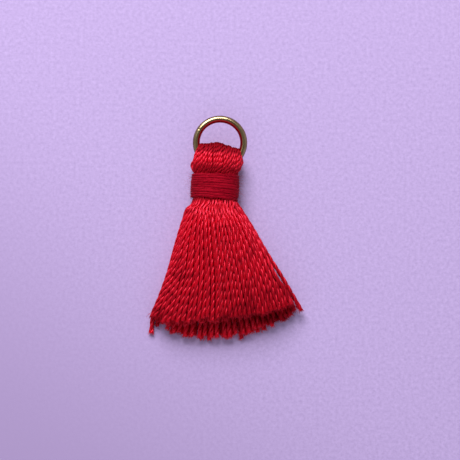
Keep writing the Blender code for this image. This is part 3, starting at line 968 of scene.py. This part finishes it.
def brass_material():
    """Brass with tarnish in patches, painted shade on the outer side of the ring and a painted reflection
    of the red yarn on its inner side.
    """
    material, nodes = new_material("antique_brass_wire")
    place = nodes.object_place()
    patches = nodes.noise(place, scale=700.0, detail=5.0)
    grain = nodes.noise(place, scale=5000.0, detail=3.0)
    brass = nodes.blend(nodes.fade(patches, 0.42, 0.68), BRASS_CLEAN, BRASS_TARNISHED)
    side = nodes.split(nodes.attribute("fibre_place"))["Z"]
    # Painted shade on the outer side of the ring
    brass = nodes.blend(nodes.fade(side, 0.78, 0.97), brass, BRASS_PAINTED_OUTER_SHADE)
    # Painted reflection of the red yarn on the inner side of the ring
    brass = nodes.blend(nodes.fade(side, -0.24, -0.42), brass, BRASS_PAINTED_RED_REFLECTION)
    nodes.feed("Base Color", brass)
    nodes.feed("Metallic", 1.0)
    nodes.feed("Specular Tint", BRASS_GLOSS)
    nodes.feed("Coat Weight", 0.15)
    nodes.feed("Coat Roughness", 0.12)
    nodes.feed("Roughness", nodes.fade(patches, low=0.16, high=0.30))
    nodes.bump(grain, strength=0.08, distance=BRASS_GRAIN_HEIGHT)
    return material


def paper_material():
    """Pale paper with a fine tooth, and painted shade that makes it a little darker towards the corner by
    the cut ends on the left.
    """
    material, nodes = new_material("pale_paper")
    place = nodes.object_place()
    tooth = nodes.noise(place, scale=2300.0, detail=5.0, roughness=0.75)
    paper = nodes.blend(nodes.fade(tooth, 0.3, 0.7), PAPER_LOW, PAPER_HIGH)
    spot = nodes.split(place)
    # Painted shade: the paper darkens towards the corner by the cut ends on the left
    corner = nodes.math("ADD", nodes.math("MULTIPLY", spot["X"], 0.9), spot["Y"])
    away = nodes.fade(corner, -0.06, 0.0, interpolation_type="SMOOTHSTEP")
    nodes.feed("Base Color", nodes.blend(away, PAPER_PAINTED_CORNER_SHADE, paper))
    nodes.feed("Roughness", 0.9)
    nodes.bump(tooth, strength=0.3, distance=PAPER_TOOTH_HEIGHT)
    return material


def make_floor():
    bpy.ops.mesh.primitive_plane_add(size=PAPER_SIDE, location=(0, 0, 0))
    floor = bpy.context.object
    floor.name = "paper_floor"
    floor.data.materials.append(paper_material())


def make_window(ring):
    """A broad window beyond the ring, which leaves no line of the ring on the paper."""
    data = bpy.data.lights.new("window", "AREA")
    data.shape = "DISK"
    data.size = WINDOW_SIZE
    data.energy = WINDOW_ENERGY
    data.color = WINDOW_COLOUR
    light = bpy.data.objects.new("window", data)
    bpy.context.scene.collection.objects.link(light)
    light.location = WINDOW_PLACE
    light.rotation_euler = (-light.location).to_track_quat("-Z", "Y").to_euler()
    shadowless = bpy.data.collections.new("window_passes")
    shadowless.objects.link(ring)
    shadowless.collection_objects[0].light_linking.link_state = "EXCLUDE"
    light.light_linking.blocker_collection = shadowless


def make_room():
    """A dim room, paler on the side away from the window, which lights the hollow of the skirt."""
    world = bpy.data.worlds.new("studio")
    bpy.context.scene.world = world
    nodes = Nodes(world, "Background")
    direction = nodes.split(nodes.add("TexCoord").outputs["Generated"])
    upward = nodes.fade(direction["Z"], *ROOM_UPWARD, interpolation_type="SMOOTHSTEP")
    away = nodes.fade(direction["Y"], *ROOM_AWAY, interpolation_type="SMOOTHSTEP")
    nodes.feed("Color", ROOM_COLOUR)
    nodes.feed("Strength", nodes.math("MULTIPLY", upward, away))


def make_camera():
    """Seen from nearly straight above, a little from the cut ends, at the scale of the photograph."""
    middle = IMAGE_SIDE / 2
    target = NECK + np.array((
        (middle - NECK_PIXEL[0]) * SCALE_PER_PIXEL,
        (NECK_PIXEL[1] - middle) * SCALE_PER_PIXEL,
        VIEW_TARGET_HEIGHT,
    ))
    data = bpy.data.cameras.new("camera")
    data.sensor_width = VIEW_SENSOR_WIDTH
    data.lens = data.sensor_width * VIEW_DISTANCE / (IMAGE_SIDE * SCALE_PER_PIXEL)
    data.clip_start, data.clip_end = VIEW_CLIP
    camera = bpy.data.objects.new("camera", data)
    bpy.context.scene.collection.objects.link(camera)
    back = np.array((0, -math.cos(VIEW_ELEVATION), math.sin(VIEW_ELEVATION)))
    camera.location = target + back * VIEW_DISTANCE
    camera.rotation_euler = (math.pi / 2 - VIEW_ELEVATION, 0, 0)
    bpy.context.scene.camera = camera


def main():
    bpy.context.scene.view_settings.view_transform = "Standard"
    make_camera()
    make_yarns(silk_material())
    make_binding(thread_material())
    ring = make_ring(brass_material())
    make_floor()
    make_window(ring)
    make_room()


main()
